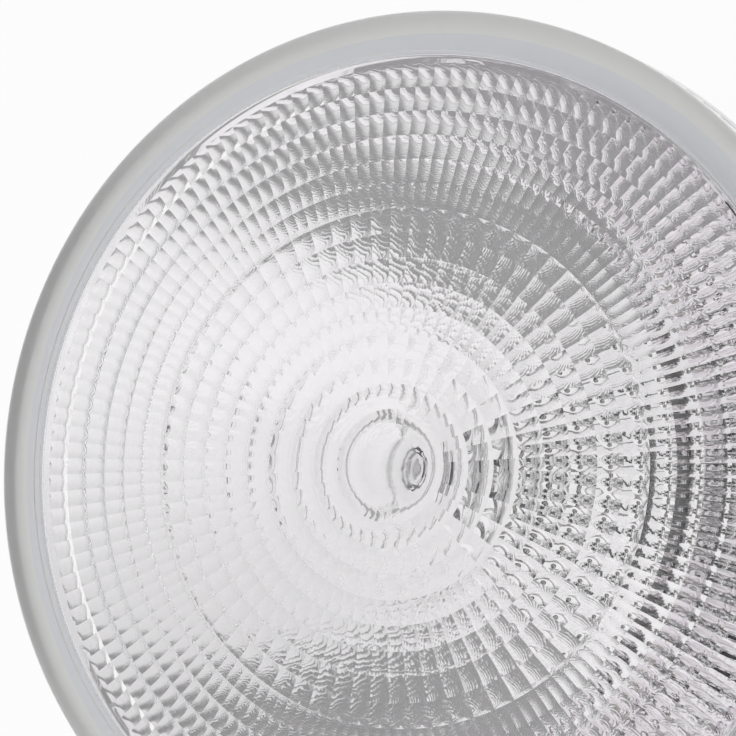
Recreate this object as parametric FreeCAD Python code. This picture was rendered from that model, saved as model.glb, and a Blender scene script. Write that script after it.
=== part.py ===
import FreeCAD, Part
import math
import os
from FreeCAD import Vector

# Reflector spotlight lamp with a clear pressed lens, in millimetres.
# The origin is on the lamp's axis at the lowest point of the centre contact.
# Z runs up from the screw base to the lens. The live side is +X, the neutral side -X.

# Clearances
fit = 0.05
weld_gap = 0.02

# Rim, where the two glass halves meet
rim_radius = 60.5
rim_width = 5.9
seal_width = 2.4
seal_thickness = 0.5
seal_setback = 0.5
glass_edge_rounding = 0.4

# Lens
lens_wall = 3.8
lens_step = 0.8
dome_rise = 10.4
groove_width = 0.9
groove_depth = 0.7
rim_top_rounding = 1.4
bullseye_radius = 4.0
bullseye_border = 0.15
bullseye_depth = 0.9
pattern_margin = 1.55
pillow_height = 0.4
cells_around = 36
inner_rings = 4
middle_rings = 5
outer_rings = 6

# Reflector
focal_length = 11.4
glass_wall = 3.2
flange_depth = 7.0
flange_rounding = 1.0
neck_clearance = 1.155
neck_wall = 3.2
neck_blend = 7.0
floor_thickness = 4.0
well_radius = 15.0
well_draft = 0.6
well_rounding = 2.0
exhaust_tip_radius = 2.4
exhaust_tip_length = 2.6
bowl_points = 9

# Ferrules and mount posts
ferrule_spacing = 18.0
ferrule_flange_radius = 3.6
ferrule_flange = 0.5
ferrule_plug_radius = 2.0
post_radius = 0.75
post_tail = 1.5
post_rise = 3.6
post_bend = 1.6
post_below_pinch = 2.324

# Quartz capsule
capsule_radius = 6.2
quartz_wall = 1.1
capsule_crown = 1.0
room_below_filament = 3.2
room_above_filament = 3.7
tip_radius = 1.3
tip_length = 2.2
pinch_width = 12.6
pinch_thickness = 3.8
pinch_length = 9.6
pinch_overlap = 2.6
pinch_rounding = 0.8
foil_width = 3.0
foil_length = 5.2
foil_thickness = 0.12
foil_spacing = 6.0
foil_margin = 2.0
pin_radius = 0.4
pin_tail = 1.5

# Filament and its inner leads
filament_length = 10.6
filament_radius = 1.25
filament_turns = 9
coil_radius = 0.17
lead_radius = 0.25
lead_bend = 0.8

# Screw shell
crest_radius = 13.15
thread_depth = 1.1
thread_pitch = 3.629
thread_turns = 5
sections_per_turn = 6
shell_wall = 0.3
shell_lip_height = 6.0
shell_lip_width = 1.4
heel_rounding = 0.8
collar_proud = 0.3

# Skirt and cement
skirt_wall = 0.4
skirt_overlap = 12.0
throat_gap = 0.4
throat_length = 2.6
shoulder_length = 7.6
dimple_count = 4
dimple_radius = 2.2
dimple_depth = 0.45
dimple_below_edge = 3.6
cement_thickness = 0.9
cement_setback = 0.6
cement_above_neck_end = 0.8

# Insulator and centre contact
solder_height = 0.8
solder_radius = 2.4
contact_radius = 4.9
contact_thickness = 0.4
contact_hole_radius = 1.1
contact_rounding = 0.15
insulator_nose_margin = 0.5
insulator_rounding = 0.4
insulator_flange = 1.7
insulator_bore_radius = 1.5

# Wires and fuse in the base
wire_radius = 0.5
wire_bend = 1.3
wire_drop = 2.6
wire_run_out = 1.5
fuse_radius = 2.1
fuse_length = 12.0
fuse_above_insulator = 6.95
fuse_offset = 2.5
fuse_seal = 3.0
fuse_wire_radius = 0.15
sleeve_wall = 0.45
sleeve_setback = 2.04
side_solder_radius = 1.6
side_wire_stub = 0.6

# Places worked out from the sizes above, from the contact up
foot = Vector(0, 0, 0)
up = Vector(0, 0, 1)
live = 1
neutral = -1
contact_face = solder_height + contact_thickness
mean_radius = crest_radius - thread_depth / 2
shell_bore = mean_radius - shell_wall
shell_lip_radius = shell_bore - shell_lip_width
insulator_shoulder = shell_lip_height + shell_wall + fit
insulator_top = insulator_shoulder + insulator_flange
thread_bottom = insulator_top + fit
thread_top = thread_bottom + thread_turns * thread_pitch
throat_radius = mean_radius + fit + skirt_wall
throat_bottom = thread_top + throat_gap
throat_top = throat_bottom + throat_length
shell_top = throat_top + collar_proud
shoulder_top = throat_top + shoulder_length
neck_end = shoulder_top + neck_clearance
neck_radius = well_radius + neck_wall
skirt_radius = neck_radius + cement_thickness + skirt_wall
skirt_end = neck_end + skirt_overlap
hole_height = (throat_top + shoulder_top) / 2
hole_radius = (throat_radius + skirt_radius) / 2
floor_height = neck_end + floor_thickness
post_x = ferrule_spacing / 2
post_end = neck_end - ferrule_flange - post_tail
post_top = floor_height + post_rise
fuse_bottom = insulator_top + fuse_above_insulator
fuse_top = fuse_bottom + fuse_length
pinch_bottom = post_top + post_below_pinch
pin_x = foil_spacing / 2
foil_bottom = pinch_bottom + foil_margin
foil_top = foil_bottom + foil_length
capsule_rounding = capsule_radius - capsule_crown
cavity_radius = capsule_radius - quartz_wall
cavity_bottom = pinch_bottom + pinch_length
filament_bottom = cavity_bottom + room_below_filament
filament_top = filament_bottom + filament_length
cavity_top = filament_top + room_above_filament
focus = (filament_bottom + filament_top) / 2
bowl_vertex = focus - focal_length
mouth_radius = rim_radius - rim_width
seam_height = bowl_vertex + mouth_radius ** 2 / (4 * focal_length)
flange_bottom = seam_height - flange_depth
seal_inner_radius = rim_radius - seal_setback - seal_width
rim_top = seam_height + lens_wall + lens_step
apex_height = rim_top + dome_rise
dome_edge = mouth_radius - groove_width / 2
dome_radius = (dome_edge ** 2 + dome_rise ** 2) / (2 * dome_rise)
dome_centre = apex_height - dome_radius
ring_count = inner_rings + middle_rings + outer_rings
pattern_radius = mouth_radius - pattern_margin
ring_pitch = (pattern_radius - bullseye_radius) / ring_count


def at(radius, height, angle=0.0):
    return Vector(radius * math.cos(angle), radius * math.sin(angle), height)


def bend_points(before, corner, after, radius):
    """Where a bend of one radius enters a corner, its middle, and where it leaves."""
    coming = (corner - before).normalize()
    going = (after - corner).normalize()
    turn = coming.getAngle(going)
    reach = radius * math.tan(turn / 2)
    inward = (going - coming).normalize()
    middle = corner + inward * (radius / math.cos(turn / 2) - radius)
    return corner - coming * reach, middle, corner + going * reach


def arc(start, middle, end):
    return Part.Arc(at(*start), at(*middle), at(*end)).toShape()


def cap(radius, edge_height, pole_height):
    """Round edge from the border of a spherical cap to its pole on the axis."""
    rise = pole_height - edge_height
    ball = (radius ** 2 + rise ** 2) / (2 * rise)
    half = radius / 2
    middle = pole_height - ball + math.copysign(math.sqrt(ball ** 2 - half ** 2), ball)
    return arc((radius, edge_height), (half, middle), (0, pole_height))


def smooth(points):
    """A smooth edge through (radius, height) points."""
    line = Part.BSplineCurve()
    line.interpolate([at(*point) for point in points])
    return line.toShape()


def bezier(points):
    line = Part.BezierCurve()
    line.setPoles([at(*point) for point in points])
    return line.toShape()


def ends(step):
    if isinstance(step, Part.Edge):
        return step.Vertexes[0].Point, step.Vertexes[-1].Point
    return at(*step[:2]), at(*step[:2])


def outline(profile, closed=True):
    """Edges through (radius, height) points and given edges. A third value rounds that point."""
    steps = []
    for place, step in enumerate(profile):
        if isinstance(step, Part.Edge) or len(step) == 2:
            steps.append(step)
            continue
        before = ends(profile[place - 1])[1]
        after = ends(profile[(place + 1) % len(profile)])[0]
        steps.append(Part.Arc(*bend_points(before, at(*step[:2]), after, step[2])).toShape())
    edges = []
    links = zip(steps, steps[1:] + steps[:1])
    for place, (step, following) in enumerate(links):
        if isinstance(step, Part.Edge):
            edges.append(step)
        start, end = ends(step)[1], ends(following)[0]
        last = place == len(steps) - 1
        if start.distanceToPoint(end) > 1e-6 and (closed or not last):
            edges.append(Part.makeLine(start, end))
    return edges


def turned(*profile):
    """A solid of revolution about the lamp's axis."""
    return Part.Face(Part.Wire(outline(profile))).revolve(foot, up, 360)


def turned_faces(edges):
    """Open surfaces of revolution about the lamp's axis."""
    faces = []
    for edge in edges:
        faces += edge.revolve(foot, up, 360).Faces
    return faces


def tube(outer, inner, bottom, top):
    return turned((inner, bottom), (outer, bottom), (outer, top), (inner, top))


def column(radius, bottom, top, x=0.0, y=0.0):
    return Part.makeCylinder(radius, top - bottom, Vector(x, y, bottom))


def rod(points, radius, bend):
    """A round wire through the points, with every corner bent to one radius."""
    pieces = []
    start = points[0]
    for before, corner, after in zip(points, points[1:], points[2:]):
        entry, middle, leave = bend_points(before, corner, after, bend)
        pieces.append(Part.makeLine(start, entry))
        pieces.append(Part.Arc(entry, middle, leave).toShape())
        start = leave
    pieces.append(Part.makeLine(start, points[-1]))
    section = Part.Wire(Part.Circle(points[0], points[1] - points[0], radius).toShape())
    return Part.Wire(pieces).makePipeShell([section], True, False)


def round_edges(shape, radius, height):
    """The full circles of a shape that lie at one radius and height."""
    found = []
    for edge in shape.Edges:
        if not isinstance(edge.Curve, Part.Circle):
            continue
        circle = edge.Curve
        if abs(circle.Radius - radius) < 1e-4 and abs(circle.Center.z - height) < 1e-3:
            found.append(edge)
    return found


def back_height(radius):
    """Height of the border lines between the pillows on the lens's inner face."""
    return dome_centre + math.sqrt((dome_radius - lens_wall) ** 2 - radius ** 2)


def ring_cells(ring):
    if ring < inner_rings:
        return cells_around
    if ring < inner_rings + middle_rings:
        return cells_around * 2
    return cells_around * 4


def pillow(ring, cell):
    """One cell of the pattern: flat facets from its border, which neighbours share, to a peak."""
    count = ring_cells(ring)
    near = bullseye_radius + ring * ring_pitch
    far = near + ring_pitch
    first = 2 * math.pi * cell / count
    last = 2 * math.pi * (cell + 1) / count
    middle = (first + last) / 2
    border = [at(near, back_height(near), first), at(far, back_height(far), first)]
    if ring + 1 < ring_count and ring_cells(ring + 1) > count:
        border.append(at(far, back_height(far), middle))
    border += [at(far, back_height(far), last), at(near, back_height(near), last)]
    centre = (near + far) / 2
    peak = at(centre, back_height(centre) - pillow_height, middle)
    faces = []
    for here, there in zip(border, border[1:] + border[:1]):
        faces.append(Part.Face(Part.makePolygon([peak, here, there, peak])))
    return faces


def lens_pattern():
    """All the pillows: one wedge of them, repeated about the axis."""
    wedge = []
    for ring in range(ring_count):
        for cell in range(ring_cells(ring) // cells_around):
            wedge += pillow(ring, cell)
    wedge = Part.makeCompound(wedge)
    faces = []
    for turn in range(cells_around):
        copy = wedge.copy()
        copy.rotate(foot, up, 360 * turn / cells_around)
        faces += copy.Faces
    return faces


def polygon_ring(radius, height, count):
    corners = [at(radius, height, 2 * math.pi * k / count) for k in range(count)]
    return Part.makePolygon(corners + corners[:1])


def circle_ring(radius, height):
    return Part.Wire(Part.Circle(Vector(0, 0, height), up, radius).toShape())


def flat_ring(outer, inner):
    return Part.makeFace([outer, inner], "Part::FaceMakerBullseye")


def closed_solid(faces):
    """One solid from faces that meet along their edges."""
    skin = Part.makeCompound(faces)
    skin.sewShape()
    solid = Part.Solid(skin)
    if solid.Volume < 0:
        solid.reverse()
    return solid


def lens():
    """Pressed clear glass: a smooth dome in front, a dished bullseye and rings of pillows behind."""
    edge_height = back_height(pattern_radius)
    eye_height = back_height(bullseye_radius)
    eye_edge = bullseye_radius - bullseye_border
    outer_border = polygon_ring(pattern_radius, edge_height, ring_cells(ring_count - 1))
    inner_border = polygon_ring(bullseye_radius, eye_height, cells_around)
    faces = lens_pattern()
    faces.append(flat_ring(circle_ring(mouth_radius, edge_height), outer_border))
    faces.append(flat_ring(inner_border, circle_ring(eye_edge, eye_height)))
    front = outline([
        (mouth_radius, edge_height),
        (mouth_radius, seam_height),
        (rim_radius, seam_height, glass_edge_rounding),
        (rim_radius, rim_top, rim_top_rounding),
        arc((mouth_radius + groove_width / 2, rim_top), (mouth_radius, rim_top - groove_depth),
            (dome_edge, rim_top)),
        cap(dome_edge, rim_top, apex_height),
    ], closed=False)
    eye = cap(eye_edge, eye_height, eye_height + bullseye_depth)
    return closed_solid(faces + turned_faces(front + [eye]))


def rim_seal():
    """Adhesive in the outer step of the joint between the two glass halves."""
    return tube(rim_radius - seal_setback, seal_inner_radius,
                seam_height - seal_thickness, seam_height)


def mirror_height(radius):
    return bowl_vertex + radius ** 2 / (4 * focal_length)


def outer_point(radius):
    """The point of the bowl's outside that lies one wall off the mirror at this radius."""
    slope = radius / (2 * focal_length)
    length = math.hypot(slope, 1)
    return radius + glass_wall * slope / length, mirror_height(radius) - glass_wall / length


def mirror_radius_where(is_below):
    """The mirror radius at which a test of the outside point stops being true."""
    low, high = 0.0, mouth_radius
    for _ in range(50):
        middle = (low + high) / 2
        if is_below(outer_point(middle)):
            low = middle
        else:
            high = middle
    return low


def bowl_outside():
    """The bowl's outside as a smooth edge, from the neck to the underside of the rim flange."""
    first = mirror_radius_where(lambda point: point[0] < neck_radius)
    last = mirror_radius_where(lambda point: point[1] < flange_bottom)
    step = (last - first) / (bowl_points - 1)
    return smooth([outer_point(first + step * k) for k in range(bowl_points)])


def mirror_curve():
    """The parabola of the mirror, from the well to the mouth."""
    between = bowl_vertex + well_radius * mouth_radius / (4 * focal_length)
    return bezier([(well_radius, mirror_height(well_radius)),
                   ((well_radius + mouth_radius) / 2, between),
                   (mouth_radius, seam_height)])


def reflector():
    """Pressed glass bowl with a rim flange, a neck, and a well for the capsule's seal."""
    outside = bowl_outside()
    seal_floor = seam_height - seal_thickness
    bowl = turned(
        (0, neck_end), (neck_radius, neck_end, glass_edge_rounding), outside,
        (rim_radius, flange_bottom, flange_rounding), (rim_radius, seal_floor, glass_edge_rounding),
        (seal_inner_radius, seal_floor), (seal_inner_radius, seam_height), (0, seam_height),
    )
    blend_height = ends(outside)[0].z
    bowl = bowl.makeFillet(neck_blend, round_edges(bowl, neck_radius, blend_height))
    hollow = turned((0, floor_height), (well_radius - well_draft, floor_height, well_rounding),
                    mirror_curve(), (0, seam_height))
    tip = turned((0, floor_height - floor_thickness / 2),
                 (exhaust_tip_radius, floor_height - floor_thickness / 2),
                 (exhaust_tip_radius, neck_end - exhaust_tip_length, exhaust_tip_radius * 0.9),
                 (0, neck_end - exhaust_tip_length))
    glass = bowl.cut(hollow).fuse(tip)
    for side in (live, neutral):
        glass = glass.cut(column(ferrule_plug_radius, neck_end - 1, floor_height + 1, side * post_x))
    return glass.removeSplitter()


def ferrule(side):
    """Metal plug with a flange, sealed into the bowl's floor."""
    flange = column(ferrule_flange_radius, neck_end - ferrule_flange, neck_end, side * post_x)
    plug = column(ferrule_plug_radius, neck_end, floor_height, side * post_x)
    bore = column(post_radius, neck_end - ferrule_flange, floor_height, side * post_x)
    return flange.fuse(plug).cut(bore).removeSplitter()


def mount_post(side):
    """Stiff wire through a ferrule, bent in to the capsule's pin."""
    reach = pin_x + pin_radius + weld_gap
    return rod([Vector(side * post_x, 0, post_end), Vector(side * post_x, 0, post_top),
                Vector(side * reach, 0, post_top)], post_radius, post_bend)


def pin(side):
    return column(pin_radius, post_top - post_radius - pin_tail, foil_bottom, side * pin_x)


def foil(side):
    corner = Vector(side * pin_x - foil_width / 2, -foil_thickness / 2, foil_bottom)
    return Part.makeBox(foil_width, foil_thickness, foil_length, corner)


def inner_lead(side):
    """Wire from a foil up into the capsule and in to one end of the filament."""
    height = filament_top if side == live else filament_bottom
    reach = filament_radius + coil_radius + weld_gap
    return rod([Vector(side * pin_x, 0, foil_top), Vector(side * pin_x, 0, height),
                Vector(side * reach, 0, height)], lead_radius, lead_bend)


def filament():
    """Coiled wire on the axis: half turns from the lower lead round to the upper one."""
    half_turns = 2 * filament_turns + 1
    rise = filament_length / half_turns
    reach = math.hypot(filament_radius, rise / 2)
    arcs = []
    for half in range(half_turns):
        side = -1 if half % 2 else 1
        start = Vector(-side * filament_radius, 0, filament_bottom + rise * half)
        end = Vector(side * filament_radius, 0, start.z + rise)
        middle = (start + end) / 2 + Vector(0, side * reach, 0)
        arcs.append(Part.Arc(start, middle, end).toShape())
    start = Vector(-filament_radius, 0, filament_bottom)
    section = Part.Wire(Part.Circle(start, Vector(0, 1, 0), coil_radius).toShape())
    return Part.Wire(arcs).makePipeShell([section], True, False)


def capsule():
    """Quartz bulb with a flat pinch that closes round the foils, pins and leads."""
    top = cavity_top + quartz_wall
    bottom = cavity_bottom - quartz_wall
    bulb = turned((0, bottom), (capsule_radius, bottom, capsule_rounding),
                  (capsule_radius, top, capsule_rounding), (0, top))
    tip = turned((0, cavity_top + quartz_wall / 2), (tip_radius, cavity_top + quartz_wall / 2),
                 (tip_radius, top + tip_length, tip_radius * 0.9), (0, top + tip_length))
    height = pinch_length + pinch_overlap
    corner = Vector(-pinch_width / 2, -pinch_thickness / 2, pinch_bottom)
    pinch = Part.makeBox(pinch_width, pinch_thickness, height, corner)
    pinch = pinch.makeFillet(pinch_rounding, pinch.Edges)
    inner_rounding = capsule_rounding - quartz_wall
    cavity = turned((0, cavity_bottom), (cavity_radius, cavity_bottom, inner_rounding),
                    (cavity_radius, cavity_top, inner_rounding), (0, cavity_top))
    quartz = bulb.fuse([tip, pinch]).cut(cavity)
    for side in (live, neutral):
        quartz = quartz.cut([pin(side), foil(side), inner_lead(side)])
    return quartz.removeSplitter()


def thread_face(radius):
    """A tube whose centre circles the axis once in each pitch, which makes a rolled thread."""
    count = thread_turns * sections_per_turn
    rings = []
    for step in range(count + 1):
        fade = min(1, step / sections_per_turn, (count - step) / sections_per_turn)
        angle = 2 * math.pi * step / sections_per_turn
        height = thread_bottom + thread_pitch * step / sections_per_turn
        centre = at(thread_depth / 2 * fade, height, angle)
        rings.append(Part.Wire(Part.Circle(centre, up, radius).toShape()))
    return Part.makeLoft(rings, False, False).Faces


def screw_shell():
    """Thin rolled shell with a right-hand knuckle thread and a lip turned in at its foot."""
    lip_top = shell_lip_height + shell_wall
    heel = outline([
        (mean_radius, thread_bottom), (mean_radius, shell_lip_height, heel_rounding),
        (shell_lip_radius, shell_lip_height), (shell_lip_radius, lip_top),
        (shell_bore, lip_top, heel_rounding - shell_wall), (shell_bore, thread_bottom),
    ], closed=False)
    collar = outline([
        (mean_radius, thread_top), (mean_radius, shell_top),
        (shell_bore, shell_top), (shell_bore, thread_top),
    ], closed=False)
    walls = thread_face(mean_radius) + thread_face(shell_bore)
    return closed_solid(walls + turned_faces(heel + collar))


def skirt_body(throat, body, bottom, top):
    """The skirt's form as a full solid, for its outside or its inside."""
    waist = throat_top + shoulder_length / 2
    shoulder = bezier([(throat, throat_top), (throat, waist), (body, waist), (body, shoulder_top)])
    return turned((0, bottom), (throat, bottom), shoulder, (body, top), (0, top))


def dimples(radius):
    """Balls that press the skirt's dimples in, or clear them from within."""
    balls = []
    distance = skirt_radius + dimple_radius - dimple_depth
    for k in range(dimple_count):
        angle = 2 * math.pi * (k + 0.5) / dimple_count
        balls.append(Part.makeSphere(radius, at(distance, skirt_end - dimple_below_edge, angle)))
    return balls


def skirt():
    """Drawn aluminium skirt, from a throat on the screw shell to the glass neck."""
    outside = skirt_body(throat_radius, skirt_radius, throat_bottom, skirt_end)
    inside = skirt_body(throat_radius - skirt_wall, skirt_radius - skirt_wall,
                        throat_bottom - 1, skirt_end + 1)
    outside = outside.cut(dimples(dimple_radius))
    inside = inside.cut(dimples(dimple_radius + skirt_wall))
    hole = Part.makeCylinder(wire_radius + fit, hole_radius + 5,
                             Vector(0, 0, hole_height), Vector(neutral, 0, 0))
    return outside.cut(inside).cut(hole)


def neck_cement():
    """Ring of cement that holds the glass neck in the skirt."""
    ring = tube(skirt_radius - skirt_wall, neck_radius,
                neck_end + cement_above_neck_end, skirt_end - cement_setback)
    return ring.cut(dimples(dimple_radius + skirt_wall))


def insulator():
    """Moulded glass insulator in the foot of the screw shell."""
    waist = shell_lip_radius - fit
    flange = shell_bore - fit
    return turned(
        (insulator_bore_radius, contact_face),
        (contact_radius + insulator_nose_margin, contact_face, insulator_rounding),
        (waist, shell_lip_height), (waist, insulator_shoulder),
        (flange, insulator_shoulder, heel_rounding), (flange, insulator_top),
        (insulator_bore_radius, insulator_top),
    )


def centre_contact():
    return turned((contact_hole_radius, solder_height),
                  (contact_radius, solder_height, contact_rounding),
                  (contact_radius, contact_face), (contact_hole_radius, contact_face))


def contact_solder():
    """Solder dome over the centre contact, with the live wire's end in it."""
    dome = turned(cap(solder_radius, solder_height, 0), (0, contact_face),
                  (contact_hole_radius, contact_face), (contact_hole_radius, solder_height))
    return dome.cut(live_wire_lower())


def live_wire_upper():
    bend_height = post_end - wire_drop
    return rod([Vector(post_x, 0, post_end), Vector(post_x, 0, bend_height),
                Vector(fuse_offset, 0, fuse_top + wire_run_out),
                Vector(fuse_offset, 0, fuse_top - fuse_seal)], wire_radius, wire_bend)


def live_wire_lower():
    return rod([Vector(fuse_offset, 0, fuse_bottom + fuse_seal),
                Vector(fuse_offset, 0, fuse_bottom - wire_run_out),
                Vector(0, 0, insulator_top + wire_run_out),
                Vector(0, 0, solder_height / 2)], wire_radius, wire_bend)


def fuse_wire():
    return column(fuse_wire_radius, fuse_bottom + fuse_seal, fuse_top - fuse_seal, fuse_offset)


def fuse_tube():
    """Glass tube over the fuse wire, closed on the two wire ends."""
    wall = column(fuse_radius, fuse_bottom, fuse_top, fuse_offset)
    return wall.cut(column(wire_radius, fuse_bottom - 1, fuse_top + 1, fuse_offset))


def insulating_sleeve():
    """Woven glass sleeve on the slanting run of the upper live wire."""
    high = Vector(post_x, 0, post_end - wire_drop)
    low = Vector(fuse_offset, 0, fuse_top + wire_run_out)
    length = high.distanceToPoint(low) - 2 * sleeve_setback
    along = (low - high).normalize()
    start = high + along * sleeve_setback
    sleeve = Part.makeCylinder(wire_radius + sleeve_wall, length, start, along)
    return sleeve.cut(Part.makeCylinder(wire_radius, length, start, along))


def neutral_wire():
    """Wire from the neutral post out through the skirt's shoulder to its solder."""
    reach = hole_radius + side_wire_stub
    return rod([Vector(-post_x, 0, post_end), Vector(-post_x, 0, hole_height),
                Vector(-reach, 0, hole_height)], wire_radius, wire_bend)


def side_solder():
    """Solder bead on the outside of the skirt's shoulder, over the neutral wire's end."""
    bead = Part.makeSphere(side_solder_radius, Vector(-hole_radius, 0, hole_height))
    outside = skirt_body(throat_radius, skirt_radius, throat_bottom, skirt_end)
    return bead.cut(outside).cut(neutral_wire())


def main():
    os.makedirs("parts", exist_ok=True)
    nodes = {
        "lens": lens(),
        "rim_seal": rim_seal(),
        "reflector": reflector(),
        "capsule": capsule(),
        "filament": filament(),
        "upper_lead": inner_lead(live),
        "lower_lead": inner_lead(neutral),
        "live_foil": foil(live),
        "neutral_foil": foil(neutral),
        "live_pin": pin(live),
        "neutral_pin": pin(neutral),
        "live_post": mount_post(live),
        "neutral_post": mount_post(neutral),
        "live_ferrule": ferrule(live),
        "neutral_ferrule": ferrule(neutral),
        "live_wire_upper": live_wire_upper(),
        "live_wire_lower": live_wire_lower(),
        "insulating_sleeve": insulating_sleeve(),
        "fuse_tube": fuse_tube(),
        "fuse_wire": fuse_wire(),
        "neutral_wire": neutral_wire(),
        "side_solder": side_solder(),
        "skirt": skirt(),
        "neck_cement": neck_cement(),
        "screw_shell": screw_shell(),
        "insulator": insulator(),
        "centre_contact": centre_contact(),
        "contact_solder": contact_solder(),
    }
    for name, shape in nodes.items():
        solids = shape.Solids
        print(name, len(solids), "solid", round(shape.Volume, 2), "mm3", shape.isValid())
        if len(solids) == 1:
            shape = solids[0]
        shape.exportStep("parts/" + name + ".step")


main()
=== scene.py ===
import math
import bmesh
import bpy
from mathutils import Matrix, Vector


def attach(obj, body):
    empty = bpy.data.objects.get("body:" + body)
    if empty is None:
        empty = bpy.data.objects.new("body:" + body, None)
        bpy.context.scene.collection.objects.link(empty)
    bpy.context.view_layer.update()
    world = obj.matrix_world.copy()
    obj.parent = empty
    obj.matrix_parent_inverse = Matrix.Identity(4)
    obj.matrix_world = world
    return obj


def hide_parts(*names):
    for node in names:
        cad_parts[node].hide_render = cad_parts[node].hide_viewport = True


# Reflector spotlight lamp: pressed lens, aluminised bowl, screw base.
# Blender works in metres here, and the sizes in the dictionaries are in millimetres.
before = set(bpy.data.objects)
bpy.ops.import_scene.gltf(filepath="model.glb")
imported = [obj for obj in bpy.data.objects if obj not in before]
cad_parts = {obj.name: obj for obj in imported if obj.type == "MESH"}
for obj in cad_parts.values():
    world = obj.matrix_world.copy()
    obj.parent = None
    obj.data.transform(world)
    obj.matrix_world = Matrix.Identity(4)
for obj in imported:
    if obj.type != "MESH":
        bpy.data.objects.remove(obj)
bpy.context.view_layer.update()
scene = bpy.context.scene
scene.view_settings.view_transform = "Standard"
scene.cycles.max_bounces = 20       # a ray crosses the lens, the mirror and the lens again
scene.cycles.glossy_bounces = 16
scene.cycles.transmission_bounces = 20
mm = 0.001
up = Vector((0, 0, 1))
middle = Vector((0, 0, 0))


# Shared helpers

def toLinear(hexColour):
    channels = [int(hexColour[i:i + 2], 16) / 255 for i in (1, 3, 5)]
    return [c / 12.92 if c <= 0.04045 else ((c + 0.055) / 1.055) ** 2.4 for c in channels] + [1]


def addNode(tree, kind, inputs=None, **settings):
    node = tree.nodes.new(kind)
    for name, value in settings.items():
        setattr(node, name, value)
    for name, value in (inputs or {}).items():
        if isinstance(value, bpy.types.NodeSocket):
            tree.links.new(value, node.inputs[name])
        else:
            node.inputs[name].default_value = value
    return node


def newMaterial(name, **values):
    material = bpy.data.materials.new(name)
    material.use_nodes = True
    tree = material.node_tree
    tree.nodes.clear()
    settings = {key.replace("_", " "): value for key, value in values.items()}
    shader = addNode(tree, "ShaderNodeBsdfPrincipled", settings)
    addNode(tree, "ShaderNodeOutputMaterial", {"Surface": shader.outputs[0]})
    return material, tree, shader


def connect(tree, shader, sources):
    for name, source in sources.items():
        tree.links.new(source, shader.inputs[name])


def dress(material, *nodes):
    for node in nodes:
        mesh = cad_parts[node].data
        for place in range(len(mesh.materials)):
            mesh.materials[place] = material


def finishPiece(name, bm, material):
    mesh = bpy.data.meshes.new(name)
    bm.to_mesh(mesh)
    bm.free()
    mesh.materials.append(material)
    piece = bpy.data.objects.new(name, mesh)
    scene.collection.objects.link(piece)
    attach(piece, "root")
    return piece


def lineTo(bm, start, radius, height):
    vert = bm.verts.new((radius, 0, height))
    bm.edges.new((start, vert))
    return vert


def arcTo(bm, start, centre, angle, steps):
    made = bmesh.ops.spin(bm, geom=[start], cent=centre, axis=(0, 1, 0), angle=angle, steps=steps)
    return [e for e in made["geom_last"] if isinstance(e, bmesh.types.BMVert)][0]


def fromAxis(tree, coords):
    # how far a place is from the lamp's axis
    flat = addNode(tree, "ShaderNodeVectorMath", {0: coords.outputs["Object"], 1: (1, 1, 0)},
                   operation="MULTIPLY")
    return addNode(tree, "ShaderNodeVectorMath", {0: flat.outputs[0]}, operation="LENGTH").outputs["Value"]


# Camera: where the photograph was taken from
view = {
    "target": Vector((0, 0, 122.5 * mm)),
    "distance": 0.5,                # in metres
    "elevation": math.radians(68.63),
    "azimuth": math.radians(0.0),   # turns the camera and the light round the lamp
    "roll": math.radians(-82.86),
    "focalPixels": 3820,
    "imageSide": 736,
    "sensorWidth": 36,
    "offset": (49.7, -101.3),       # where the target falls, in pixels right and up of the middle
}


def placeCamera():
    cosEl = math.cos(view["elevation"])
    toward = Vector((math.sin(view["azimuth"]) * cosEl, -math.cos(view["azimuth"]) * cosEl,
                     math.sin(view["elevation"])))
    forward = -toward
    right = forward.cross(up).normalized()
    above = right.cross(forward)
    turn = view["roll"]
    sideways = right * math.cos(turn) + above * math.sin(turn)
    upwards = -right * math.sin(turn) + above * math.cos(turn)
    basis = Matrix((sideways, upwards, toward)).transposed()
    seen = Vector((view["offset"][0], view["offset"][1], -view["focalPixels"])).normalized()
    aim = Vector((0, 0, -1)).rotation_difference(seen).to_matrix()
    place = (basis @ aim.transposed()).to_4x4()
    place.translation = view["target"] + toward * view["distance"]
    data = bpy.data.cameras.new("camera")
    data.sensor_width = view["sensorWidth"]
    data.lens = view["focalPixels"] * data.sensor_width / view["imageSide"]
    data.clip_start = 0.01
    data.clip_end = 20
    camera = bpy.data.objects.new("camera", data)
    camera.matrix_world = place
    scene.collection.objects.link(camera)
    scene.camera = camera


placeCamera()
print("camera placed")


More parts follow.
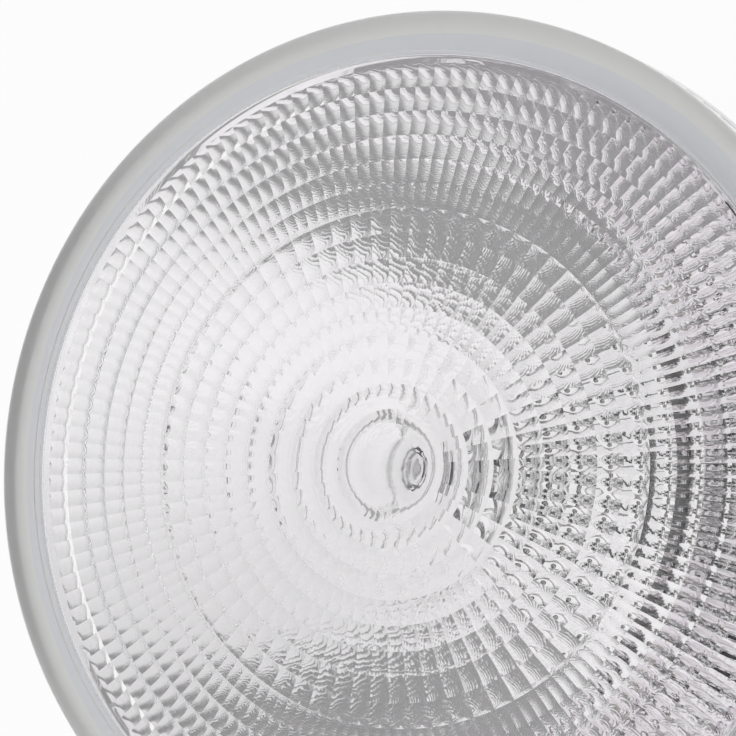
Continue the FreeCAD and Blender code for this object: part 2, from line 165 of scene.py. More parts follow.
# Lens
lens = {
    "seam": 120.02,                 # a hair above the bowl, so that the two faces are apart
    "rimRadius": 60.5,
    "rimTop": 124.6,
    "mouth": 54.6,                  # inner radius of the rim
    "edgeRounding": 0.4,
    "topRounding": 2.2,
    "grooveHalf": 0.45,
    "domeRise": 10.4,
    "wall": 3.8,
    "eyeRadius": 4.0,               # the dished bullseye
    "eyeDepth": 0.9,
    "ringPitch": 3.27,
    "wedges": 36,                   # equal parts round the axis
    "cells": [36] * 4 + [72] * 5 + [144] * 6,       # pillows in each ring, from the bullseye out
    # radius of the tool that cut the pillows, across each ring's pillows and along the lamp's radius
    "toolAcross": [40.0, 12.0, 8.0, 8.0] + [3.6] * 5 + [2.6] * 6,
    "toolAlong": 4.0,
    "fade": 0.15,                   # share of a ring over which the pillows end where their number changes
    "columns": 16,                  # faces across one wedge
    "rows": 7,                      # and over one ring's pitch
    "edgeSteps": 3,
    "arcSteps": 8,
    "domeSteps": 24,
    "mergeWithin": 0.002,
    "sharpFrom": math.radians(35),  # angle between two faces
    "groundRoughness": 0.5,
    "jointSheen": 0.85,             # metallic share of the sealing face, only matched to the photograph
    "glueFrom": 57.6,               # the adhesive fills the joint from here outwards
    "eyeFrost": 0.12,               # the bullseye is stippled, so it blurs the capsule behind it
    "eyeBlend": 0.1,
    "wave": 9,                      # slow waves that the press leaves in the glass
    "waveDepth": 0.015,
}
domeEdge = lens["mouth"] - lens["grooveHalf"]
domeRadius = (domeEdge ** 2 + lens["domeRise"] ** 2) / (2 * lens["domeRise"])
domeCentre = lens["rimTop"] + lens["domeRise"] - domeRadius
patternRadius = lens["eyeRadius"] + lens["ringPitch"] * len(lens["cells"])
hair = 1e-6                         # keeps a place on a border from falling to the wrong side


def backHeight(radius):
    # height of the border lines between the pillows
    return domeCentre + math.sqrt((domeRadius - lens["wall"]) ** 2 - radius ** 2)


def pillowDepth(radius, angle):
    # depth below the border lines, and how near the place is to its pillow's borders, 1 being on them
    place = (radius - lens["eyeRadius"]) / lens["ringPitch"]
    ring = min(int(place + hair), len(lens["cells"]) - 1)
    count = lens["cells"][ring]
    along = 2 * (place - ring) - 1
    share = angle / (2 * math.pi / count)
    across = 2 * (share - math.floor(share + hair)) - 1
    width = 2 * math.pi * radius / count
    crown = width ** 2 / (8 * lens["toolAcross"][ring]) * (1 - across ** 2)
    roll = lens["ringPitch"] ** 2 / (8 * lens["toolAlong"]) * (1 - along ** 2)
    inward = lens["cells"][ring - 1] if ring else 0
    outward = lens["cells"][ring + 1] if ring + 1 < len(lens["cells"]) else 0
    reach = 2 * lens["fade"]
    if inward != count and along < reach - 1:
        crown *= 1 - (1 - (along + 1) / reach) ** 2
    if outward != count and along > 1 - reach:
        crown *= 1 - (1 - (1 - along) / reach) ** 2
    return crown + roll, abs(along), abs(across)


def addPillows(bm):
    # one wedge of the pattern, pressed to its depths, and then turned round the axis
    onBorder = 0.999
    wedge = 2 * math.pi / lens["wedges"]
    first = bm.verts.new((lens["eyeRadius"], 0, 0))
    lineTo(bm, first, patternRadius, 0)
    bmesh.ops.subdivide_edges(bm, edges=bm.edges[:], cuts=len(lens["cells"]) * lens["rows"] - 1)
    bmesh.ops.spin(bm, geom=bm.verts[:] + bm.edges[:], cent=middle, axis=up, angle=wedge,
                   steps=lens["columns"])
    borders = {}
    for vert in bm.verts:
        radius = math.hypot(vert.co.x, vert.co.y)
        angle = math.atan2(vert.co.y, vert.co.x)
        depth, along, across = pillowDepth(radius, angle)
        vert.co.z = backHeight(radius) - depth
        borders[vert] = (along > onBorder, across > onBorder)
    for edge in bm.edges:
        one, other = edge.verts
        roundRing = borders[one][0] and borders[other][0]
        betweenPillows = borders[one][1] and borders[other][1]
        edge.smooth = not (roundRing or betweenPillows)
    copies = lens["wedges"] - 1
    bmesh.ops.spin(bm, geom=bm.verts[:] + bm.edges[:] + bm.faces[:], cent=middle, axis=up,
                   angle=wedge * copies, steps=copies, use_duplicate=True)


def addGlassBody(bm):
    # the bullseye and all of the lens but the pattern: two outlines, turned round the axis
    outline = bmesh.new()
    edgeHeight = backHeight(patternRadius)
    low = lens["seam"]
    fillet = edgeHeight - low
    vert = outline.verts.new((patternRadius, 0, edgeHeight))
    vert = lineTo(outline, vert, lens["mouth"] - fillet, edgeHeight)
    vert = arcTo(outline, vert, (lens["mouth"] - fillet, 0, low), math.pi / 2, lens["arcSteps"])
    edgeCentre = lens["rimRadius"] - lens["edgeRounding"]
    vert = lineTo(outline, vert, edgeCentre, low)
    vert = arcTo(outline, vert, (edgeCentre, 0, low + lens["edgeRounding"]), -math.pi / 2, lens["edgeSteps"])
    shoulder = lens["rimTop"] - lens["topRounding"]
    vert = lineTo(outline, vert, lens["rimRadius"], shoulder)
    vert = arcTo(outline, vert, (lens["rimRadius"] - lens["topRounding"], 0, shoulder), -math.pi / 2,
                 lens["arcSteps"])
    vert = lineTo(outline, vert, lens["mouth"] + lens["grooveHalf"], lens["rimTop"])
    vert = arcTo(outline, vert, (lens["mouth"], 0, lens["rimTop"]), math.pi, lens["arcSteps"])
    arcTo(outline, vert, (0, 0, domeCentre), -math.asin(domeEdge / domeRadius), lens["domeSteps"])
    eyeHeight = backHeight(lens["eyeRadius"])
    ballRadius = (lens["eyeRadius"] ** 2 + lens["eyeDepth"] ** 2) / (2 * lens["eyeDepth"])
    eye = outline.verts.new((lens["eyeRadius"], 0, eyeHeight))
    arcTo(outline, eye, (0, 0, eyeHeight + lens["eyeDepth"] - ballRadius),
          -math.asin(lens["eyeRadius"] / ballRadius), lens["arcSteps"])
    bmesh.ops.spin(outline, geom=outline.verts[:] + outline.edges[:], cent=middle, axis=up,
                   angle=2 * math.pi, steps=lens["wedges"] * lens["columns"], use_merge=True)
    turned = bpy.data.meshes.new("turned")
    outline.to_mesh(turned)
    outline.free()
    bm.from_mesh(turned)
    bpy.data.meshes.remove(turned)


def markEdges(bm):
    # smooth all over, but for true corners and the borders of the bullseye and the pattern
    near = 0.01
    for face in bm.faces:
        face.smooth = True
    for edge in bm.edges:
        radii = [math.hypot(vert.co.x, vert.co.y) for vert in edge.verts]
        onCircle = any(max(abs(radii[0] - circle), abs(radii[1] - circle)) < near
                       for circle in (lens["eyeRadius"], patternRadius))
        if onCircle or edge.calc_face_angle(0) > lens["sharpFrom"]:
            edge.smooth = False


def buildLens(material):
    bm = bmesh.new()
    addPillows(bm)
    addGlassBody(bm)
    bmesh.ops.remove_doubles(bm, verts=bm.verts[:], dist=lens["mergeWithin"])
    bmesh.ops.recalc_face_normals(bm, faces=bm.faces[:])
    markEdges(bm)
    bmesh.ops.scale(bm, vec=(mm, mm, mm), verts=bm.verts[:])
    print("open edges of the lens:", sum(len(edge.link_faces) != 2 for edge in bm.edges))
    piece = finishPiece("pressedLens", bm, material)
    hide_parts("lens")
    print("lens triangles:", sum(len(face.vertices) - 2 for face in piece.data.polygons))


def pressedGlass():
    # borosilicate glass pressed in a steel mould and fire polished: clear, with faint slow waves;
    # its sealing face is ground flat and meets the bowl's, and from the front the joint looks like
    # pale satin metal
    material, tree, shader = newMaterial("pressedGlass", IOR=1.47)
    coords = addNode(tree, "ShaderNodeTexCoord")
    place = addNode(tree, "ShaderNodeSeparateXYZ", {0: coords.outputs["Object"]})
    radius = fromAxis(tree, coords)

    # the ground sealing face, and where it is wet
    low = addNode(tree, "ShaderNodeMath", {0: place.outputs["Z"], 1: (lens["seam"] + 0.05) * mm},
                  operation="LESS_THAN")
    outside = addNode(tree, "ShaderNodeMath", {0: radius, 1: (lens["mouth"] + 0.02) * mm},
                      operation="GREATER_THAN")
    ground = addNode(tree, "ShaderNodeMath", {0: low.outputs[0], 1: outside.outputs[0]}, operation="MULTIPLY")
    wet = addNode(tree, "ShaderNodeMath", {0: radius, 1: lens["glueFrom"] * mm}, operation="GREATER_THAN")
    faceTone = addNode(tree, "ShaderNodeMix", {0: wet.outputs[0], 6: toLinear("#f6f7fb"),
                                               7: toLinear("#fdfdfc")}, data_type="RGBA")
    tone = addNode(tree, "ShaderNodeMix", {0: ground.outputs[0], 6: toLinear("#fbfbfb"),
                                           7: faceTone.outputs[2]}, data_type="RGBA")
    clear = addNode(tree, "ShaderNodeMath", {0: 1.0, 1: ground.outputs[0]}, operation="SUBTRACT")
    sheen = addNode(tree, "ShaderNodeMath", {0: ground.outputs[0], 1: lens["jointSheen"]},
                    operation="MULTIPLY")

    # the stippled bullseye, on the back of the lens only
    eyeTop = (backHeight(lens["eyeRadius"]) + 2 * lens["eyeDepth"]) * mm
    behind = addNode(tree, "ShaderNodeMath", {0: place.outputs["Z"], 1: eyeTop}, operation="LESS_THAN")
    inEye = addNode(tree, "ShaderNodeMapRange", {"Value": radius, "To Max": lens["eyeFrost"],
                                                 "From Min": (lens["eyeRadius"] + lens["eyeBlend"]) * mm,
                                                 "From Max": (lens["eyeRadius"] - lens["eyeBlend"]) * mm})
    stipple = addNode(tree, "ShaderNodeMath", {0: behind.outputs[0], 1: inEye.outputs[0]},
                      operation="MULTIPLY")
    frost = addNode(tree, "ShaderNodeMath", {0: ground.outputs[0], 1: lens["groundRoughness"],
                                             2: stipple.outputs[0]}, operation="MULTIPLY_ADD")

    waves = addNode(tree, "ShaderNodeTexNoise", {"Vector": coords.outputs["Object"],
                                                 "Scale": 1 / (lens["wave"] * mm), "Detail": 1.0})
    bump = addNode(tree, "ShaderNodeBump", {"Height": waves.outputs["Fac"], "Strength": 1.0,
                                            "Distance": lens["waveDepth"] * mm})
    connect(tree, shader, {"Base Color": tone.outputs[2], "Transmission Weight": clear.outputs[0],
                           "Roughness": frost.outputs[0], "Metallic": sheen.outputs[0],
                           "Normal": bump.outputs[0]})
    return material


buildLens(pressedGlass())
print("lens made")


# Bowl, its mirror and the joint to the lens
bowl = {
    "focus": 11.4,                  # focal length of the mirror's parabola
    "vertex": 54.62,
    "mouth": 54.6,
    "wellRadius": 15.6,
    "wellFloor": 41.9,
    "ferruleX": 9.0,
    "film": 1.0,                    # the mask for the mirror reaches this far into the glass
    "haze": 0.02,                   # roughness of the aluminium film
    "groundFrom": 119.4,            # the face under the lens and the step for the adhesive are ground
    "groundRoughness": 0.6,
    "bareRing": 2.7,                # no mirror this near a ferrule, so that it can't short the lamp
    "wave": 14,                     # slow waves that the press leaves in the glass
    "waveDepth": 0.03,
    "clouds": 6,                    # in the adhesive
}


def aluminisedGlass():
    # pressed glass with vapour-deposited aluminium inside: a mirror in front, a greyer silver seen
    # through clear glass behind; the edge under the lens is ground, so it is frosted
    material, tree, shader = newMaterial("aluminisedGlass", IOR=1.47)
    coords = addNode(tree, "ShaderNodeTexCoord")
    place = addNode(tree, "ShaderNodeSeparateXYZ", {0: coords.outputs["Object"]})
    radius = fromAxis(tree, coords)

    # the film on the parabola, up to the mouth
    square = addNode(tree, "ShaderNodeMath", {0: radius, 1: radius}, operation="MULTIPLY")
    parabola = addNode(tree, "ShaderNodeMath", {0: square.outputs[0], 1: 0.25 / (bowl["focus"] * mm),
                                                2: (bowl["vertex"] - bowl["film"]) * mm},
                       operation="MULTIPLY_ADD")
    aboveBowl = addNode(tree, "ShaderNodeMath", {0: place.outputs["Z"], 1: parabola.outputs[0]},
                        operation="GREATER_THAN")
    inMouth = addNode(tree, "ShaderNodeMath", {0: radius, 1: (bowl["mouth"] + 0.02) * mm},
                      operation="LESS_THAN")
    bowlCoat = addNode(tree, "ShaderNodeMath", {0: aboveBowl.outputs[0], 1: inMouth.outputs[0]},
                       operation="MULTIPLY")

    # the film in the well, but not round the ferrules
    aboveWell = addNode(tree, "ShaderNodeMath", {0: place.outputs["Z"], 1: bowl["wellFloor"] * mm},
                        operation="GREATER_THAN")
    inWell = addNode(tree, "ShaderNodeMath", {0: radius, 1: bowl["wellRadius"] * mm}, operation="LESS_THAN")
    wellCoat = addNode(tree, "ShaderNodeMath", {0: aboveWell.outputs[0], 1: inWell.outputs[0]},
                       operation="MULTIPLY")
    aside = addNode(tree, "ShaderNodeMath", {0: place.outputs["X"]}, operation="ABSOLUTE")
    folded = addNode(tree, "ShaderNodeCombineXYZ", {"X": aside.outputs[0], "Y": place.outputs["Y"],
                                                    "Z": 0.0})
    apart = addNode(tree, "ShaderNodeVectorMath", {0: folded.outputs[0], 1: (bowl["ferruleX"] * mm, 0, 0)},
                    operation="DISTANCE")
    farEnough = addNode(tree, "ShaderNodeMath", {0: apart.outputs["Value"], 1: bowl["bareRing"] * mm},
                        operation="GREATER_THAN")
    wellCoat = addNode(tree, "ShaderNodeMath", {0: wellCoat.outputs[0], 1: farEnough.outputs[0]},
                       operation="MULTIPLY")
    coat = addNode(tree, "ShaderNodeMath", {0: wellCoat.outputs[0], 1: bowlCoat.outputs[0]},
                   operation="MAXIMUM")

    # the ground faces under the lens, and the clear glass that is left
    bare = addNode(tree, "ShaderNodeMath", {0: 1.0, 1: coat.outputs[0]}, operation="SUBTRACT")
    onFlange = addNode(tree, "ShaderNodeMath", {0: place.outputs["Z"], 1: bowl["groundFrom"] * mm},
                       operation="GREATER_THAN")
    ground = addNode(tree, "ShaderNodeMath", {0: onFlange.outputs[0], 1: bare.outputs[0]},
                     operation="MULTIPLY")
    seeThrough = addNode(tree, "ShaderNodeMath", {0: bare.outputs[0], 1: ground.outputs[0]},
                         operation="SUBTRACT")
    haze = addNode(tree, "ShaderNodeMath", {0: coat.outputs[0], 1: bowl["haze"]}, operation="MULTIPLY")
    frost = addNode(tree, "ShaderNodeMath", {0: ground.outputs[0], 1: bowl["groundRoughness"],
                                             2: haze.outputs[0]}, operation="MULTIPLY_ADD")

    glassTone = addNode(tree, "ShaderNodeMix", {0: ground.outputs[0], 6: toLinear("#fbfcfb"),
                                                7: toLinear("#f4f5fa")}, data_type="RGBA")
    facing = addNode(tree, "ShaderNodeNewGeometry")
    filmTone = addNode(tree, "ShaderNodeMix", {0: facing.outputs["Backfacing"], 6: toLinear("#fcfbfc"),
                                               7: toLinear("#b4b6ba")}, data_type="RGBA")
    tone = addNode(tree, "ShaderNodeMix", {0: coat.outputs[0], 6: glassTone.outputs[2],
                                           7: filmTone.outputs[2]}, data_type="RGBA")
    waves = addNode(tree, "ShaderNodeTexNoise", {"Vector": coords.outputs["Object"],
                                                 "Scale": 1 / (bowl["wave"] * mm), "Detail": 1.0})
    height = addNode(tree, "ShaderNodeMath", {0: waves.outputs["Fac"], 1: bare.outputs[0]},
                     operation="MULTIPLY")
    bump = addNode(tree, "ShaderNodeBump", {"Height": height.outputs[0], "Strength": 1.0,
                                            "Distance": bowl["waveDepth"] * mm})
    connect(tree, shader, {"Base Color": tone.outputs[2], "Metallic": coat.outputs[0],
                           "Transmission Weight": seeThrough.outputs[0], "Roughness": frost.outputs[0],
                           "Normal": bump.outputs[0]})
    return material


def rimAdhesive():
    # clear epoxy with a fine filler, squeezed flat between the glass halves: a milky pale band
    material, tree, shader = newMaterial("rimAdhesive", Roughness=0.5, IOR=1.5)
    coords = addNode(tree, "ShaderNodeTexCoord")
    clouds = addNode(tree, "ShaderNodeTexNoise", {"Vector": coords.outputs["Object"],
                                                  "Scale": 1 / (bowl["clouds"] * mm), "Detail": 4.0})
    tone = addNode(tree, "ShaderNodeMix", {0: clouds.outputs["Fac"], 6: toLinear("#f9f9f9"),
                                           7: toLinear("#fefefe")}, data_type="RGBA")
    connect(tree, shader, {"Base Color": tone.outputs[2]})
    return material


dress(aluminisedGlass(), "reflector")
dress(rimAdhesive(), "rim_seal")
print("bowl dressed")


# Capsule, filament and the wires that carry them
inner = {
    "pinchWave": 3,
    "pinchDepth": 0.02,
    # darker and lighter tone, roughness, and the width and depth of the marks from drawing or rolling
    "tungsten": ("#57575c", "#74747a", 0.4, 0.3, 0.004),
    "molybdenum": ("#9b9ca0", "#b4b5b8", 0.32, 0.5, 0.004),
    "nickelWire": ("#bcbab4", "#cfcdc7", 0.25, 0.8, 0.004),
    "sealingAlloy": ("#b2b2b1", "#c6c6c5", 0.3, 0.7, 0.006),
    "copperWire": ("#a9694a", "#c68863", 0.33, 0.6, 0.005),
}


def fusedQuartz():
    # fused quartz, blown and pinched hot: clearer than the lens, slightly wavy in the pinch
    material, tree, shader = newMaterial("fusedQuartz", Base_Color=toLinear("#fdfdfd"), Roughness=0.0,
                                         IOR=1.458, Transmission_Weight=1.0)
    coords = addNode(tree, "ShaderNodeTexCoord")
    waves = addNode(tree, "ShaderNodeTexNoise", {"Vector": coords.outputs["Object"],
                                                 "Scale": 1 / (inner["pinchWave"] * mm), "Detail": 1.0})
    bump = addNode(tree, "ShaderNodeBump", {"Height": waves.outputs["Fac"], "Strength": 1.0,
                                            "Distance": inner["pinchDepth"] * mm})
    connect(tree, shader, {"Normal": bump.outputs[0]})
    return material


def drawnMetal(name, darker, lighter, roughness, markWidth, markDepth):
    # metal drawn or rolled to size: fine marks that change its tone and its gloss a little
    material, tree, shader = newMaterial(name, Metallic=1.0)
    coords = addNode(tree, "ShaderNodeTexCoord")
    marks = addNode(tree, "ShaderNodeTexNoise", {"Vector": coords.outputs["Object"],
                                                 "Scale": 1 / (markWidth * mm), "Detail": 3.0})
    tone = addNode(tree, "ShaderNodeMix", {0: marks.outputs["Fac"], 6: toLinear(darker),
                                           7: toLinear(lighter)}, data_type="RGBA")
    gloss = addNode(tree, "ShaderNodeMapRange", {"Value": marks.outputs["Fac"], "To Min": roughness * 1.25,
                                                 "To Max": roughness * 0.75})
    bump = addNode(tree, "ShaderNodeBump", {"Height": marks.outputs["Fac"], "Strength": 1.0,
                                            "Distance": markDepth * mm})
    connect(tree, shader, {"Base Color": tone.outputs[2], "Roughness": gloss.outputs[0],
                           "Normal": bump.outputs[0]})
    return material


dress(fusedQuartz(), "capsule")
dress(drawnMetal("drawnTungsten", *inner["tungsten"]), "filament")
dress(drawnMetal("drawnMolybdenum", *inner["molybdenum"]),
      "upper_lead", "lower_lead", "live_foil", "neutral_foil", "live_pin", "neutral_pin")
dress(drawnMetal("nickelPlatedWire", *inner["nickelWire"]), "live_post", "neutral_post", "fuse_wire")
dress(drawnMetal("nickelIronAlloy", *inner["sealingAlloy"]), "live_ferrule", "neutral_ferrule")
dress(drawnMetal("copperCladWire", *inner["copperWire"]),
      "live_wire_upper", "live_wire_lower", "neutral_wire")
print("inner pieces dressed")


# Base
base = {
    # darker and lighter tone, roughness, and the spacing and depth of the lines from drawing or rolling
    "skirtMetal": ("#bdbdbb", "#d3d3d1", 0.34, 0.35, 0.004),
    "shellMetal": ("#c4c4c2", "#dadad8", 0.26, 0.25, 0.003),
    "scuffs": 5,
    "contactBrass": ("#a98a4c", "#c8aa6a", 0.3, 0.9, 0.006),
    "cementGrain": 0.35,
    "cementRelief": 0.06,
    "cementClouds": 4,
    "weavePitch": 0.6,
    "weaveRelief": 0.1,
    "strandAngle": 50,              # each way from the sleeve's length, in degrees
    "sleeveLean": 20,
    "tubeWave": 2,
    "tubeDepth": 0.01,
    "solderRipple": 0.9,
    "rippleDepth": 0.12,
    "solderFrost": 0.4,
    "glassFlow": 3,
    "flowDepth": 0.05,
}


def spunAluminium(name, darker, lighter, roughness, line, depth):
    # aluminium sheet drawn and rolled round the lamp's axis: satin, with fine level lines and a few scuffs
    material, tree, shader = newMaterial(name, Metallic=1.0)
    coords = addNode(tree, "ShaderNodeTexCoord")
    stretched = addNode(tree, "ShaderNodeMapping", {"Vector": coords.outputs["Object"],
                                                    "Scale": (0.04, 0.04, 1)})
    lines = addNode(tree, "ShaderNodeTexNoise", {"Vector": stretched.outputs[0], "Scale": 1 / (line * mm),
                                                 "Detail": 3.0})
    scuffs = addNode(tree, "ShaderNodeTexNoise", {"Vector": coords.outputs["Object"],
                                                  "Scale": 1 / (base["scuffs"] * mm),
                                                  "Detail": 5.0, "Roughness": 0.65})
    both = addNode(tree, "ShaderNodeMath", {0: lines.outputs["Fac"], 1: scuffs.outputs["Fac"]},
                   operation="MULTIPLY")
    tone = addNode(tree, "ShaderNodeMix", {0: scuffs.outputs["Fac"], 6: toLinear(darker),
                                           7: toLinear(lighter)}, data_type="RGBA")
    gloss = addNode(tree, "ShaderNodeMapRange", {"Value": both.outputs[0], "From Min": 0.1, "From Max": 0.4,
                                                 "To Min": roughness * 1.3, "To Max": roughness * 0.7})
    bump = addNode(tree, "ShaderNodeBump", {"Height": lines.outputs["Fac"], "Strength": 1.0,
                                            "Distance": depth * mm})
    connect(tree, shader, {"Base Color": tone.outputs[2], "Roughness": gloss.outputs[0],
                           "Normal": bump.outputs[0]})
    return material


def bakedCement():
    # mineral cement, pushed in wet and baked: matt, buff, with coarse grains
    material, tree, shader = newMaterial("bakedCement", Roughness=0.9)
    coords = addNode(tree, "ShaderNodeTexCoord")
    grains = addNode(tree, "ShaderNodeTexVoronoi", {"Vector": coords.outputs["Object"],
                                                    "Scale": 1 / (base["cementGrain"] * mm)})
    clouds = addNode(tree, "ShaderNodeTexNoise", {"Vector": coords.outputs["Object"],
                                                  "Scale": 1 / (base["cementClouds"] * mm), "Detail": 4.0})
    grainTone = addNode(tree, "ShaderNodeMix", {0: grains.outputs["Distance"], 6: toLinear("#cfc4b0"),
                                                7: toLinear("#a99c86")}, data_type="RGBA")
    tone = addNode(tree, "ShaderNodeMix", {0: clouds.outputs["Fac"], 6: grainTone.outputs[2],
                                           7: toLinear("#c6baa5")}, data_type="RGBA")
    bump = addNode(tree, "ShaderNodeBump", {"Height": grains.outputs["Distance"], "Strength": 1.0,
                                            "Distance": base["cementRelief"] * mm})
    connect(tree, shader, {"Base Color": tone.outputs[2], "Normal": bump.outputs[0]})
    return material


def wovenSleeve():
    # braided glass fibre: off-white, the strands cross at an angle; a painted highlight lightens their crowns
    # and painted shade darkens the gaps between them
    material, tree, shader = newMaterial("wovenGlassFibre", Roughness=0.6)
    coords = addNode(tree, "ShaderNodeTexCoord")
    lean = math.radians(base["sleeveLean"])
    strands = []
    for turn in (-base["strandAngle"], base["strandAngle"]):
        turned = addNode(tree, "ShaderNodeMapping", {"Vector": coords.outputs["Object"],
                                                     "Rotation": (0, math.radians(turn), lean)})
        # at scale 1 the bands of a wave texture are pi / 10 apart
        wave = addNode(tree, "ShaderNodeTexWave", {"Vector": turned.outputs[0],
                                                   "Scale": math.pi / (10 * base["weavePitch"] * mm)})
        strands.append(wave.outputs["Fac"])
    weave = addNode(tree, "ShaderNodeMath", {0: strands[0], 1: strands[1]}, operation="MULTIPLY")
    # painted shade and painted highlight: the colour is darker low in the weave, between the strands, and
    # lighter on their crowns
    tone = addNode(tree, "ShaderNodeMix", {0: weave.outputs[0], 6: toLinear("#b9b3a4"),
                                           7: toLinear("#ece8de")}, data_type="RGBA")
    bump = addNode(tree, "ShaderNodeBump", {"Height": weave.outputs[0], "Strength": 1.0,
                                            "Distance": base["weaveRelief"] * mm})
    connect(tree, shader, {"Base Color": tone.outputs[2], "Normal": bump.outputs[0]})
    return material


def softGlassTube():
    # soft glass tube, drawn and sealed at both ends: clear with a green cast
    material, tree, shader = newMaterial("softGlassTube", Base_Color=toLinear("#eef6f1"), Roughness=0.0,
                                         IOR=1.52, Transmission_Weight=1.0)
    coords = addNode(tree, "ShaderNodeTexCoord")
    waves = addNode(tree, "ShaderNodeTexNoise", {"Vector": coords.outputs["Object"],
                                                 "Scale": 1 / (base["tubeWave"] * mm)})
    bump = addNode(tree, "ShaderNodeBump", {"Height": waves.outputs["Fac"], "Strength": 1.0,
                                            "Distance": base["tubeDepth"] * mm})
    connect(tree, shader, {"Normal": bump.outputs[0]})
    return material


def softSolder():
    # tin solder, frozen in the air: bright crowns with dull frosty patches and small ripples
    material, tree, shader = newMaterial("softSolder", Metallic=1.0)
    coords = addNode(tree, "ShaderNodeTexCoord")
    ripples = addNode(tree, "ShaderNodeTexNoise", {"Vector": coords.outputs["Object"],
                                                   "Scale": 1 / (base["solderRipple"] * mm), "Detail": 2.0})
    frost = addNode(tree, "ShaderNodeTexNoise", {"Vector": coords.outputs["Object"],
                                                 "Scale": 1 / (base["solderFrost"] * mm), "Detail": 4.0})
    tone = addNode(tree, "ShaderNodeMix", {0: frost.outputs["Fac"], 6: toLinear("#8f9194"),
                                           7: toLinear("#c3c5c7")}, data_type="RGBA")
    gloss = addNode(tree, "ShaderNodeMapRange", {"Value": frost.outputs["Fac"], "From Min": 0.3,
                                                 "From Max": 0.7, "To Min": 0.5, "To Max": 0.15})
    bump = addNode(tree, "ShaderNodeBump", {"Height": ripples.outputs["Fac"], "Strength": 1.0,
                                            "Distance": base["rippleDepth"] * mm})
    connect(tree, shader, {"Base Color": tone.outputs[2], "Roughness": gloss.outputs[0],
                           "Normal": bump.outputs[0]})
    return material


def blackGlass():
    # black glass moulded hot round the contact: opaque, glossy, with shallow flow marks
    material, tree, shader = newMaterial("blackMouldedGlass", IOR=1.52)
    coords = addNode(tree, "ShaderNodeTexCoord")
    flow = addNode(tree, "ShaderNodeTexNoise", {"Vector": coords.outputs["Object"],
                                                "Scale": 1 / (base["glassFlow"] * mm),
                                                "Detail": 3.0, "Distortion": 1.0})
    tone = addNode(tree, "ShaderNodeMix", {0: flow.outputs["Fac"], 6: toLinear("#141416"),
                                           7: toLinear("#24242a")}, data_type="RGBA")
    gloss = addNode(tree, "ShaderNodeMapRange", {"Value": flow.outputs["Fac"], "To Min": 0.08,
                                                 "To Max": 0.25})
    bump = addNode(tree, "ShaderNodeBump", {"Height": flow.outputs["Fac"], "Strength": 1.0,
                                            "Distance": base["flowDepth"] * mm})
    connect(tree, shader, {"Base Color": tone.outputs[2], "Roughness": gloss.outputs[0],
                           "Normal": bump.outputs[0]})
    return material


dress(spunAluminium("drawnAluminium", *base["skirtMetal"]), "skirt")
dress(spunAluminium("rolledAluminium", *base["shellMetal"]), "screw_shell")
dress(bakedCement(), "neck_cement")
dress(wovenSleeve(), "insulating_sleeve")
dress(softGlassTube(), "fuse_tube")
dress(softSolder(), "side_solder", "contact_solder")
dress(blackGlass(), "insulator")
dress(drawnMetal("stampedBrass", *base["contactBrass"]), "centre_contact")
print("base dressed")


# Floor and light. Directions are seen from the lamp, with the camera on the -Y side.
studio = {
    "floorSize": 3.0,               # in metres
    "floorGlow": 0.92,              # share of plain white in what is seen of the floor, over its shadow
    "lit": 0.91,                    # brightness of the white room, 1 being white paper
    "unlit": 0.3,                   # of the part behind the camera
    "litFrom": -0.2,                # how far a direction has to lean from the camera to be lit
    "unlitFrom": -0.36,
    "lowUnlit": -0.68,              # and below it, near the ground behind the camera, lit again
    "lowLit": -0.86,
    "shade": 0.86,                  # how much is left of the light on the far side from the softbox
    "shadeFrom": -0.1,
    "shadeFull": -0.6,
    "softbox": 1.0,
    "boxMiddle": (0.38, 0.22, 0),   # the softbox seen from the lamp, as parts of a direction
    "boxHalf": (0.22, 0.36, 1),
    "boxFade": 0.1,                 # how soft its edge is, as a share of its half size
}


def seenDirectly(tree):
    # 1 for what the camera sees, also in a mirror or through glass
    path = addNode(tree, "ShaderNodeLightPath")
    first = addNode(tree, "ShaderNodeMath", {0: path.outputs["Is Camera Ray"],
                                             1: path.outputs["Is Glossy Ray"]}, operation="MAXIMUM")
    return addNode(tree, "ShaderNodeMath", {0: first.outputs[0], 1: path.outputs["Is Transmission Ray"]},
                   operation="MAXIMUM").outputs[0]


def paper():
    # matt white paper that shows white where it is seen, and a faint shadow
    material, tree, shader = newMaterial("paper", Base_Color=toLinear("#ffffff"), Roughness=0.9)
    share = addNode(tree, "ShaderNodeMath", {0: seenDirectly(tree), 1: studio["floorGlow"]},
                    operation="MULTIPLY")
    glow = addNode(tree, "ShaderNodeEmission", {"Color": (1, 1, 1, 1), "Strength": 1.0})
    blend = addNode(tree, "ShaderNodeMixShader", {0: share.outputs[0], 1: shader.outputs[0],
                                                  2: glow.outputs[0]})
    tree.links.new(blend.outputs[0], tree.nodes["Material Output"].inputs["Surface"])
    return material


def layFloor():
    bm = bmesh.new()
    bmesh.ops.create_grid(bm, x_segments=1, y_segments=1, size=studio["floorSize"])
    mesh = bpy.data.meshes.new("floor")
    bm.to_mesh(mesh)
    bm.free()
    mesh.materials.append(paper())
    floor = bpy.data.objects.new("floor", mesh)
    scene.collection.objects.link(floor)


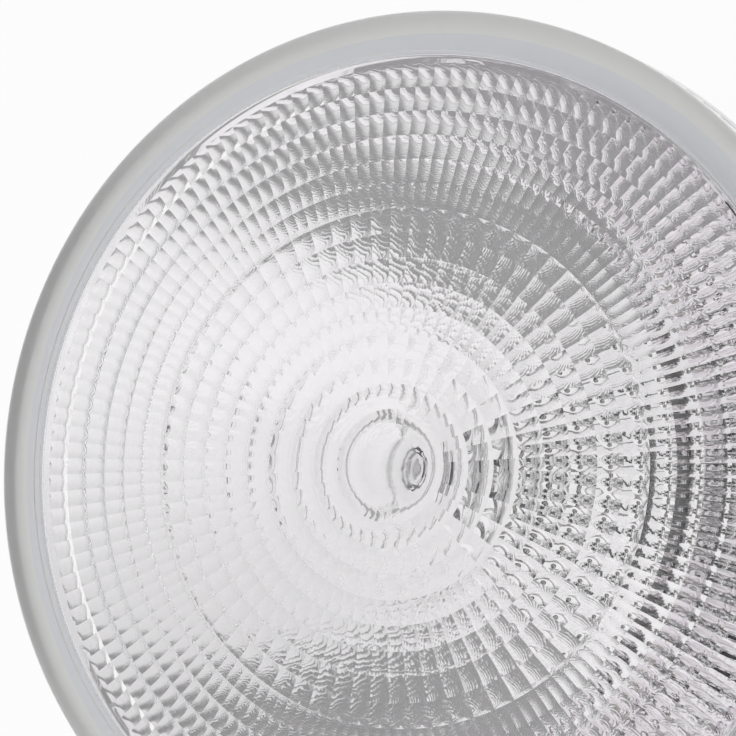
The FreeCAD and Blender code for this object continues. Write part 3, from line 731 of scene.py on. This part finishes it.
def lightRoom():
    world = bpy.data.worlds.new("studio")
    scene.world = world
    world.use_nodes = True
    tree = world.node_tree
    tree.nodes.clear()
    path = addNode(tree, "ShaderNodeLightPath")
    coords = addNode(tree, "ShaderNodeTexCoord")
    turned = addNode(tree, "ShaderNodeMapping", {"Vector": coords.outputs["Generated"],
                                                 "Rotation": (0, 0, -view["azimuth"])})
    lean = addNode(tree, "ShaderNodeSeparateXYZ", {0: turned.outputs[0]})

    # the white room with its unlit part, shaded on one side
    far = addNode(tree, "ShaderNodeMapRange", {"Value": lean.outputs["Y"],
                                               "From Min": studio["unlitFrom"], "From Max": studio["litFrom"],
                                               "To Min": studio["unlit"], "To Max": studio["lit"]},
                  interpolation_type="SMOOTHSTEP")
    low = addNode(tree, "ShaderNodeMapRange", {"Value": lean.outputs["Y"],
                                               "From Min": studio["lowUnlit"], "From Max": studio["lowLit"],
                                               "To Min": studio["unlit"], "To Max": studio["lit"]},
                  interpolation_type="SMOOTHSTEP")
    room = addNode(tree, "ShaderNodeMath", {0: far.outputs[0], 1: low.outputs[0]}, operation="MAXIMUM")
    shade = addNode(tree, "ShaderNodeMapRange", {"Value": lean.outputs["X"],
                                                 "From Min": studio["shadeFull"],
                                                 "From Max": studio["shadeFrom"],
                                                 "To Min": studio["shade"], "To Max": 1.0})
    room = addNode(tree, "ShaderNodeMath", {0: room.outputs[0], 1: shade.outputs[0]}, operation="MULTIPLY")

    # the softbox above the lamp
    fromBox = addNode(tree, "ShaderNodeVectorMath", {0: turned.outputs[0], 1: studio["boxMiddle"]},
                      operation="SUBTRACT")
    fromBox = addNode(tree, "ShaderNodeVectorMath", {0: fromBox.outputs[0], 1: studio["boxHalf"]},
                      operation="DIVIDE")
    fromBox = addNode(tree, "ShaderNodeVectorMath", {0: fromBox.outputs[0]}, operation="ABSOLUTE")
    fromBox = addNode(tree, "ShaderNodeSeparateXYZ", {0: fromBox.outputs[0]})
    edge = addNode(tree, "ShaderNodeMath", {0: fromBox.outputs["X"], 1: fromBox.outputs["Y"]},
                   operation="MAXIMUM")
    inBox = addNode(tree, "ShaderNodeMapRange", {"Value": edge.outputs[0], "From Min": 1 + studio["boxFade"],
                                                 "From Max": 1 - studio["boxFade"]},
                    interpolation_type="SMOOTHSTEP")
    above = addNode(tree, "ShaderNodeMath", {0: lean.outputs["Z"], 1: 0.0}, operation="GREATER_THAN")
    inBox = addNode(tree, "ShaderNodeMath", {0: inBox.outputs[0], 1: above.outputs[0]}, operation="MULTIPLY")
    level = addNode(tree, "ShaderNodeMix", {0: inBox.outputs[0], 2: room.outputs[0], 3: studio["softbox"]})

    # the camera itself sees plain white
    surround = addNode(tree, "ShaderNodeBackground", {"Color": (1, 1, 1, 1), "Strength": level.outputs[0]})
    white = addNode(tree, "ShaderNodeBackground", {"Color": (1, 1, 1, 1), "Strength": 1.0})
    mix = addNode(tree, "ShaderNodeMixShader", {0: path.outputs["Is Camera Ray"], 1: surround.outputs[0],
                                                2: white.outputs[0]})
    addNode(tree, "ShaderNodeOutputWorld", {"Surface": mix.outputs[0]})


layFloor()
lightRoom()
print("stage set")
